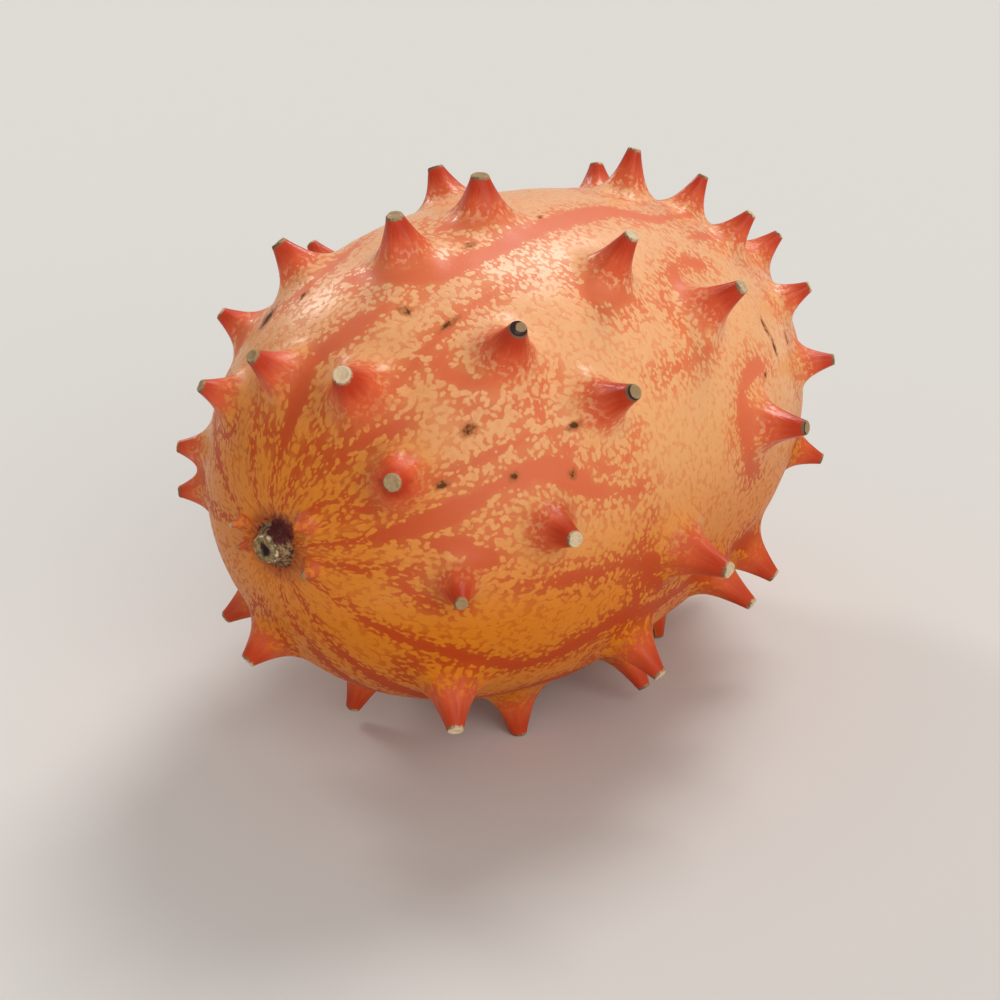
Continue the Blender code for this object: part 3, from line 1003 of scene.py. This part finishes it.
# A horn's colour goes by how far up it a place is, from 0 at the foot to 1 at the tip, with streaks. Pale
# flecks show on its lower part, and its edge lies at this distance from its axis.
STREAK_SIZE = 0.24
STREAK_DEPTH = 0.35
HORN_LOWER = (0.05, 0.45)
HORN_UPPER = (0.4, 0.85)
FLECK_SIZE = 0.75
FLECK_EDGE = (0.52, 0.6)
FLECKED_PART = (0.62, 0.15, 0.0, 0.8)
HORN_EDGE = (5.0, 3.0)
HORN_EDGE_DOTS = 3.0
HORN_EDGE_STREAKS = 1.5
# Low down and at the stem end a horn's foot and flank turn deeper, partly their own colour and partly painted
# shade.
WARM_AND_SHADED_FOOT = 0.6
LOW_HORN_WARMTH_AND_SHADE = 0.4


def horn_colour(n, warm_and_shaded, low, base):
    """Coral flanks that deepen to red below the tip, with pale flecks on the lower part."""
    streaks = n.noise(n.vector("flank"), STREAK_SIZE, 1.0)
    dots = n.noise(n.vector("place"), FLECK_SIZE, 1.0)
    rise = n.number("horn_rise")
    redness = n.roughened(rise, streaks, STREAK_DEPTH)
    # The foot deepens low down and at the stem end: partly painted shade and warm bounce light.
    horn = n.mix(n.times(warm_and_shaded, WARM_AND_SHADED_FOOT), HORN_FOOT, GROUND_DEEP_SHADED)
    horn = n.mix(n.ramp(redness, *HORN_LOWER), horn, HORN_MID)
    horn = n.mix(n.ramp(redness, *HORN_UPPER), horn, HORN_TIP)
    # The whole horn deepens low down: partly painted shade.
    horn = n.mix(n.times(low, LOW_HORN_WARMTH_AND_SHADE), horn, CORAL_DEEP_SHADED)
    fleck = n.times(n.ramp(dots, *FLECK_EDGE), n.ramp(rise, *FLECKED_PART))
    # The flecks turn ochre low down and at the stem end: partly painted shade.
    horn = n.mix(fleck, horn, n.mix(warm_and_shaded, HORN_FLECK, OCHRE_SHADED))
    edge = n.roughened(n.number("horn_away"), dots, HORN_EDGE_DOTS)
    edge = n.roughened(edge, streaks, HORN_EDGE_STREAKS)
    return n.mix(n.ramp(edge, *HORN_EDGE), base, horn)


# A blemish is dark with a brown halo.
BLEMISH_ROUGHNESS = 1.5
BLEMISH_EDGE = (1.0, 0.6, 0.0, 0.95)
BLEMISH_HALO_EDGE = (1.8, 0.9, 0.0, 0.85)
BLEMISH_DRYNESS = (1.1, 0.8)


def blemish_colour(n, scuff, base):
    """The corky blemishes, and how dry each place is from them."""
    spot = n.roughened(n.number("blemish"), scuff, BLEMISH_ROUGHNESS)
    base = n.mix(n.ramp(spot, *BLEMISH_HALO_EDGE), base, BLEMISH_HALO)
    base = n.mix(n.ramp(spot, *BLEMISH_EDGE), base, BLEMISH_DARK)
    return base, n.ramp(spot, *BLEMISH_DRYNESS)


# A tip turns from pale to tan with age, and an old one has a dark rim round a paler spot, whose middle lies
# aside of the tip's own. Places on it are parts of its radius.
TIP_TAN = (0.1, 0.5)
TIP_GRAIN = 0.5
SPOT_ASIDE = 0.4
SPOT_RADIUS = (0.5, 0.95, 1.25, 0.5)
SPOT_EDGE = (0.0, 0.2)
TIP_BORDER = (0.92, 1.02, 0.0, 0.5)
TIP_BORDER_GRAIN = 0.25
NO_CORK = (-0.1, -0.9, 0.0, 3.0)
TIP_EDGE = (1.12, 1.02)


def cap_colour(n, grain, base):
    """The corky tips, and how much each place is cork."""
    cap = n.number("cap_part")
    age = n.number("horn_age")
    cork = n.mix(n.ramp(n.roughened(age, grain, TIP_GRAIN), *TIP_TAN), CORK_PALE, CORK_TAN)
    blossomward = n.new("ShaderNodeSeparateXYZ", {"Vector": n.vector("flank")}).outputs[0]
    from_spot = n.add(n.times(cap, cap), SPOT_ASIDE**2)
    from_spot = n.less(from_spot, n.times(n.times(cap, blossomward), 2.0 * SPOT_ASIDE))
    from_spot = n.roughened(n.maths("SQRT", from_spot), grain, TIP_GRAIN)
    rim = n.ramp(n.less(from_spot, n.ramp(age, *SPOT_RADIUS)), *SPOT_EDGE)
    cork = n.mix(rim, cork, CORK_DARK)
    cork = n.mix(n.ramp(cap, *TIP_BORDER), cork, CORK_TAN)
    worn = n.add(n.roughened(cap, grain, TIP_BORDER_GRAIN), n.ramp(age, *NO_CORK))
    corky = n.ramp(worn, *TIP_EDGE)
    return n.mix(corky, base, cork), corky


# The cut stem, from its middle outwards: a dark hollow, a disc with a pale rim, bark and a red halo, each
# with its edge's distance from the stem's pole. The hollow's dark is painted shade, and the pale rim is a
# painted highlight where the disc's edge catches light. Painted shade of the pit between the stub and the
# peel lies outside the disc.
BARK_CLODS = (0.38, 0.66)
DISC_CLODS = (0.35, 0.65)
STEM_WAVER = 0.7
STEM_HOLLOW_SHADE = (1.25, 0.75)
STEM_RIM_HIGHLIGHT = (1.75, 1.95)
STEM_RIM_HIGHLIGHT_PIECES = (0.42, 0.56)
STEM_DISC_EDGE = (2.12, 2.0)
STEM_RAGGEDNESS = 3.4
STEM_BARK_EDGE = (3.6, 3.0)
STEM_HALO_EDGE = (6.5, 3.0, 0.0, 0.75)
STEM_DRYNESS = (4.5, 3.2)
PIT_SHADE_RAGGEDNESS = 2.6
PIT_SHADE_EDGE = (2.6, 1.4, 0.0, 0.9)
PIT_SHADE_START = (1.9, 2.2)


def stem_colour(n, scuff, base):
    """The cut stem's cork with painted shade in its hollow, a painted highlight on its rim and painted shade
    of the pit beside it, and how dry each place is from it.
    """
    away = n.number("stem_away")
    uneven = n.roughened(away, scuff, STEM_WAVER)
    disc = n.mix(n.ramp(scuff, *DISC_CLODS), STEM_DISC, CORK_TAN)
    # Painted shade in the stub's hollow middle.
    disc = n.mix(n.ramp(uneven, *STEM_HOLLOW_SHADE), disc, CORK_DARK)
    # A painted highlight where the disc's rim catches light.
    disc = n.mix(n.times(n.ramp(uneven, *STEM_RIM_HIGHLIGHT), n.ramp(scuff, *STEM_RIM_HIGHLIGHT_PIECES)), disc, CORK_PALE)
    bark = n.mix(n.ramp(scuff, *BARK_CLODS), STEM_BARK, CORK_TAN)
    bark = n.mix(n.ramp(away, *STEM_DISC_EDGE), bark, disc)
    edge = n.roughened(away, scuff, STEM_RAGGEDNESS)
    base = n.mix(n.ramp(edge, *STEM_HALO_EDGE), base, STEM_HALO)
    base = n.mix(n.ramp(edge, *STEM_BARK_EDGE), base, bark)
    # Painted shade of the pit between the stub and the peel.
    pit_shade = n.ramp(n.roughened(n.number("pit_shade"), scuff, PIT_SHADE_RAGGEDNESS), *PIT_SHADE_EDGE)
    base = n.mix(n.times(pit_shade, n.ramp(away, *PIT_SHADE_START)), base, STEM_PIT_SHADE)
    return base, n.ramp(edge, *STEM_DRYNESS)


# The flower's scar, from its middle outwards, with its edges' distances from the blossom's pole.
SCAR_RAGGEDNESS = 2.4
SCAR_CLODS = (0.3, 0.7)
SCAR_MIDDLE = (2.0, 1.2)
SCAR_EDGE = (2.9, 2.3)
SCAR_HALO_EDGE = (4.8, 2.6, 0.0, 0.5)


def scar_colour(n, scuff, base):
    """The flower's corky scar, browner outside its middle, with a faint halo."""
    edge = n.roughened(n.number("blossom_away"), scuff, SCAR_RAGGEDNESS)
    scar = n.mix(n.ramp(scuff, *SCAR_CLODS), STEM_BARK, CORK_TAN)
    scar = n.mix(n.ramp(edge, *SCAR_MIDDLE), n.mix(0.5, scar, BLEMISH_HALO), scar)
    base = n.mix(n.ramp(edge, *SCAR_HALO_EDGE), base, BLEMISH_HALO)
    return n.mix(n.ramp(edge, *SCAR_EDGE), base, scar)


# How rough the ground and the pale cells are, what the deep peel low down and at the stem end and fine noise
# add, and how rough cork is.
GROUND_ROUGHNESS = 0.48
CELL_ROUGHNESS = 0.29
WARM_AND_SHADED_ROUGHNESS = 0.16
CORK_ROUGHNESS = 0.85
FINE_SIZE = 0.45
FINE_ROUGHNESS = 0.2
# How much the pale cells, the pores and the cork's grain stand out.
CELL_BUMP = 0.35
PORE_SIZE = 0.5
PORE_BUMP = 0.45
GRAIN_BUMP = 1.5
BUMP_STRENGTH = 0.4
BUMP_DISTANCE = 0.0002
PEEL_GLOSS = {"Specular IOR Level": 0.2, "Coat Weight": 0.05, "Coat Roughness": 0.25}


def surface(n, skin, mottle, warm_and_shaded, grain, dry):
    """How rough and bumpy the peel and its dry cork are."""
    rough = n.add(n.blend(mottle, GROUND_ROUGHNESS, CELL_ROUGHNESS), n.times(warm_and_shaded, WARM_AND_SHADED_ROUGHNESS))
    rough = n.roughened(rough, n.noise(skin, FINE_SIZE), FINE_ROUGHNESS)
    n.feed("Roughness", n.blend(dry, rough, CORK_ROUGHNESS))
    pores = n.noise(skin, PORE_SIZE, 2.0, 0.6)
    height = n.add(n.times(mottle, CELL_BUMP), n.times(pores, PORE_BUMP))
    height = n.add(height, n.times(n.times(grain, dry), GRAIN_BUMP))
    values = {"Height": height, "Strength": BUMP_STRENGTH, "Distance": BUMP_DISTANCE}
    n.feed("Normal", n.new("ShaderNodeBump", values).outputs["Normal"])
    for socket, value in PEEL_GLOSS.items():
        n.shader.inputs[socket].default_value = value


# The peel is deeper and warmer in colour low down, by its height above the axis, and at the stem end, partly
# its own colour and partly painted shade and warm bounce light.
LOW_WARMTH_AND_SHADE = (12.0, -12.0)
STEM_WARMTH_AND_SHADE = (35.0, 12.0, 0.0, 0.9)
GRAIN_SIZE = 0.35
SCUFF_SIZE = 0.6


def peel():
    """The peel's material, with everything that grows on it."""
    n = Nodes("peel_skin")
    skin = n.vector("skin")
    grain = n.noise(n.vector("place"), GRAIN_SIZE, 3.0, 0.6)
    scuff = n.noise(n.vector("place"), SCUFF_SIZE, 3.0, 0.65)
    mottle, band = mottle_masks(n, skin)
    # Where painted shade and warm bounce light deepen the peel's own colour: low down and at the stem end.
    low = n.ramp(n.number("height"), *LOW_WARMTH_AND_SHADE)
    warm_and_shaded = n.most(low, n.ramp(n.number("stem_away"), *STEM_WARMTH_AND_SHADE))

    base = body_colour(n, skin, warm_and_shaded, mottle, band)
    base = horn_colour(n, warm_and_shaded, low, base)
    base, spotty = blemish_colour(n, scuff, base)
    base, corky = cap_colour(n, grain, base)
    base, barky = stem_colour(n, scuff, base)
    n.feed("Base Color", scar_colour(n, scuff, base))
    surface(n, skin, mottle, warm_and_shaded, grain, n.most(n.most(corky, barky), spotty))
    return n.material


# ---- Floor, camera and light ----

# The floor lies this far below the fruit's feet, in metres like its size.
FLOOR_GAP = 0.0002
FLOOR_SIZE = 40.0
FLOOR_COLOUR = (0.66, 0.63, 0.59, 1.0)
FLOOR_ROUGHNESS = 0.9


def floor():
    """A plain pale floor."""
    bm = bmesh.new()
    bmesh.ops.create_grid(bm, x_segments=1, y_segments=1, size=FLOOR_SIZE)
    mesh = meshed("floor", bm)
    n = Nodes("floor_paper")
    n.shader.inputs["Base Color"].default_value = FLOOR_COLOUR
    n.shader.inputs["Roughness"].default_value = FLOOR_ROUGHNESS
    mesh.materials.append(n.material)
    piece = placed("floor", mesh)
    piece.location.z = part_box(NODE)[0][2] - FLOOR_GAP


# The camera stands this far from the middle of the body.
CAMERA_FROM_MIDDLE = Vector((-188.7, -139.1, 83.7)) * METRES
CAMERA_FORWARD = Vector((0.7314, 0.5655, -0.3806))
CAMERA_RIGHT = Vector((0.6071, -0.7945, -0.0137))
CAMERA_LENS = 56.6
CAMERA_SENSOR = 36.0
CAMERA_RANGE = (0.01, 100.0)


def camera(middle):
    """The camera, which looks at the stem end and the near side from a little above."""
    forward = CAMERA_FORWARD.normalized()
    right = (CAMERA_RIGHT - CAMERA_RIGHT.dot(forward) * forward).normalized()
    turned = Matrix((right, right.cross(forward), -forward)).transposed().to_4x4()
    data = bpy.data.cameras.new("camera")
    data.lens = CAMERA_LENS
    data.sensor_width = CAMERA_SENSOR
    data.clip_start, data.clip_end = CAMERA_RANGE
    holder = placed("camera", data)
    holder.matrix_world = Matrix.Translation(middle + CAMERA_FROM_MIDDLE) @ turned
    bpy.context.scene.camera = holder


# Each lamp is far off in one direction from the fruit, with its width in radians and its strength.
LAMPS = {
    "key_lamp": ((0.60, 0.08, 0.80), 0.42, 1.56),
    "side_lamp": ((0.20, 0.82, 0.54), 0.24, 0.6),
    "fill_lamp": ((-0.42, -0.80, 0.45), 0.90, 1.45),
}
SKY_COLOUR = (1.0, 1.0, 1.0, 1.0)
SKY_STRENGTH = 0.38


def lamps(middle):
    """Three broad lamps turned to the middle of the body."""
    for name, (place, width, strength) in LAMPS.items():
        data = bpy.data.lights.new(name, "SUN")
        data.angle = width
        data.energy = strength
        lamp = placed(name, data)
        lamp.location = middle + Vector(place)
        lamp.rotation_mode = "QUATERNION"
        lamp.rotation_quaternion = (-Vector(place)).to_track_quat("-Z", "Y")


def sky():
    """Even pale light from all round."""
    world = bpy.data.worlds.new("studio")
    world.use_nodes = True
    backdrop = world.node_tree.nodes["Background"]
    backdrop.inputs["Color"].default_value = SKY_COLOUR
    backdrop.inputs["Strength"].default_value = SKY_STRENGTH
    bpy.context.scene.world = world


melon, middle = fruit()
melon.data.materials.append(peel())
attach(melon, "root")
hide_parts(NODE)
floor()
camera(middle)
lamps(middle)
sky()
bpy.context.scene.view_settings.view_transform = "Standard"
